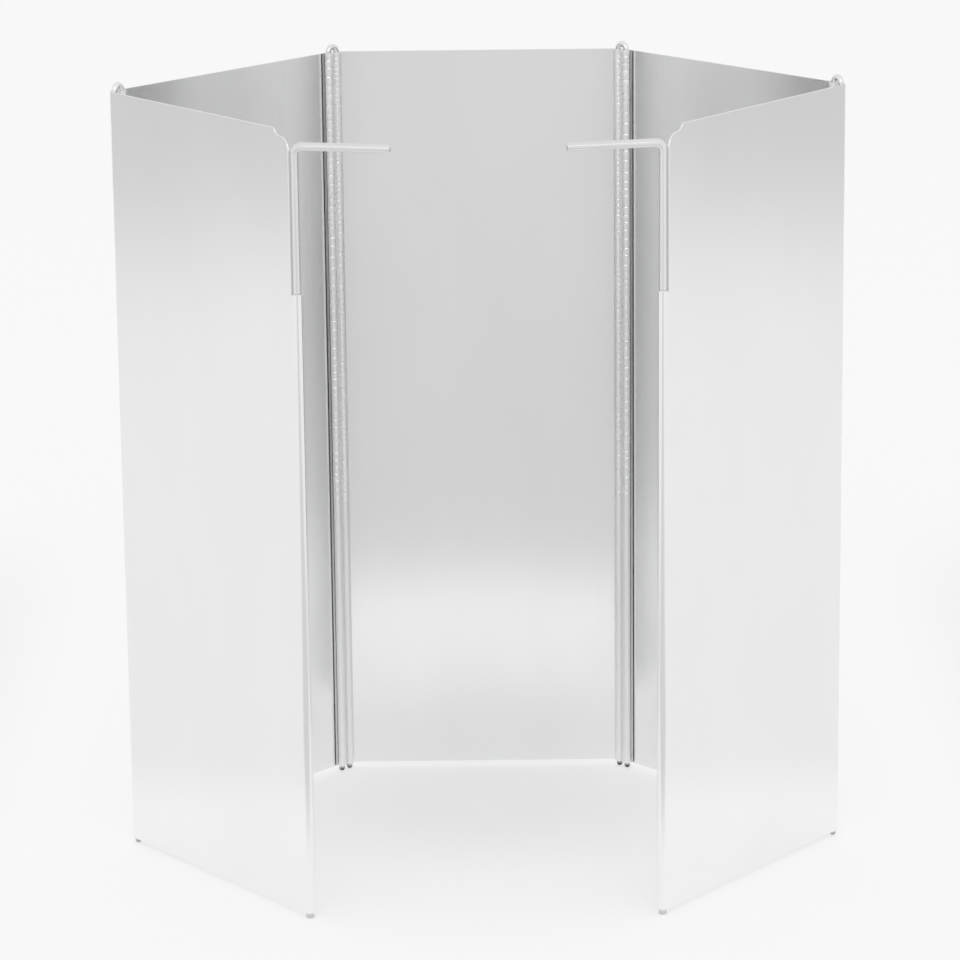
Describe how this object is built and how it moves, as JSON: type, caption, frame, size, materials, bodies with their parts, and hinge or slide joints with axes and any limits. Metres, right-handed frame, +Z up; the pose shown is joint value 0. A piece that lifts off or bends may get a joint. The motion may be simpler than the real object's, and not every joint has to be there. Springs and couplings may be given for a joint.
{
  "type": "folding stove windscreen",
  "caption": "Folding sheet-metal windscreen that stands round a camp stove: flat panels joined by hairpin hinge wires in rolled hems, with sliding ground stakes at the free edges.",
  "frame": {"origin": "on the ground, under the middle of the screen's outline", "axes": "+Z up along the panels, -Y out of the open side, +X to the right as seen from the open side"},
  "size_m": [0.2244, 0.1503, 0.2445],
  "materials": {
    "sheet_aluminium": "satin rolled sheet",
    "hinge_wire": "drawn bright wire",
    "stake_rod": "drawn bright rod"
  },
  "bodies": {
    "back_panel": {"back_panel": "sheet_aluminium", "left_rear_hinge_wire": "hinge_wire"},
    "left_rear_panel": {"left_rear_panel": "sheet_aluminium"},
    "right_rear_panel": {"right_rear_panel": "sheet_aluminium"},
    "left_front_panel": {"left_front_panel": "sheet_aluminium"},
    "right_front_panel": {"right_front_panel": "sheet_aluminium"},
    "right_rear_hinge_wire": {"right_rear_hinge_wire": "hinge_wire"},
    "left_front_hinge_wire": {"left_front_hinge_wire": "hinge_wire"},
    "right_front_hinge_wire": {"right_front_hinge_wire": "hinge_wire"},
    "left_stake": {"left_stake": "stake_rod"},
    "right_stake": {"right_stake": "stake_rod"}
  },
  "joints": [
    {"name": "left_rear_fold", "type": "hinge", "parent": "back_panel", "child": "left_rear_panel", "pos_m": [-0.0477, 0.07131, 0.1218], "axis": [0, 0, 1], "range_deg": [0, 131.5]},
    {"name": "left_front_wire_turn", "type": "hinge", "parent": "left_rear_panel", "child": "left_front_hinge_wire", "pos_m": [-0.10884, 0.00459, 0.1218], "axis": [0, 0, -1], "range_deg": [0, 100]},
    {"name": "left_front_fold", "type": "hinge", "parent": "left_front_hinge_wire", "child": "left_front_panel", "pos_m": [-0.11066, 0.00172, 0.1218], "axis": [0, 0, -1], "range_deg": [0, 161.7]},
    {"name": "left_stake_slide", "type": "slide", "parent": "left_front_panel", "child": "left_stake", "axis": [0, 0, 1], "range_m": [-0.041, 0]},
    {"name": "right_rear_wire_turn", "type": "hinge", "parent": "back_panel", "child": "right_rear_hinge_wire", "pos_m": [0.04525, 0.07368, 0.1218], "axis": [0, 0, 1], "range_deg": [0, 133.5]},
    {"name": "right_rear_fold", "type": "hinge", "parent": "right_rear_hinge_wire", "child": "right_rear_panel", "pos_m": [0.0477, 0.07131, 0.1218], "axis": [0, 0, 1], "range_deg": [0, 93]},
    {"name": "right_front_wire_turn", "type": "hinge", "parent": "right_rear_panel", "child": "right_front_hinge_wire", "pos_m": [0.10884, 0.00459, 0.1218], "axis": [0, 0, -1], "range_deg": [0, 80]},
    {"name": "right_front_fold", "type": "hinge", "parent": "right_front_hinge_wire", "child": "right_front_panel", "pos_m": [0.11066, 0.00172, 0.1218], "axis": [0, 0, -1], "range_deg": [0, 18.3]},
    {"name": "right_stake_slide", "type": "slide", "parent": "right_front_panel", "child": "right_stake", "axis": [0, 0, 1], "range_m": [-0.041, 0]}
  ],
  "couplings": [
    {"joint": "left_front_wire_turn", "follows": "left_rear_fold", "ratio": 0.75665},
    {"joint": "left_front_fold", "follows": "left_rear_fold", "ratio": 1.2259},
    {"joint": "right_front_wire_turn", "follows": "right_rear_fold", "ratio": 0.85484},
    {"joint": "right_front_fold", "follows": "right_rear_fold", "ratio": 0.1914}
  ]
}
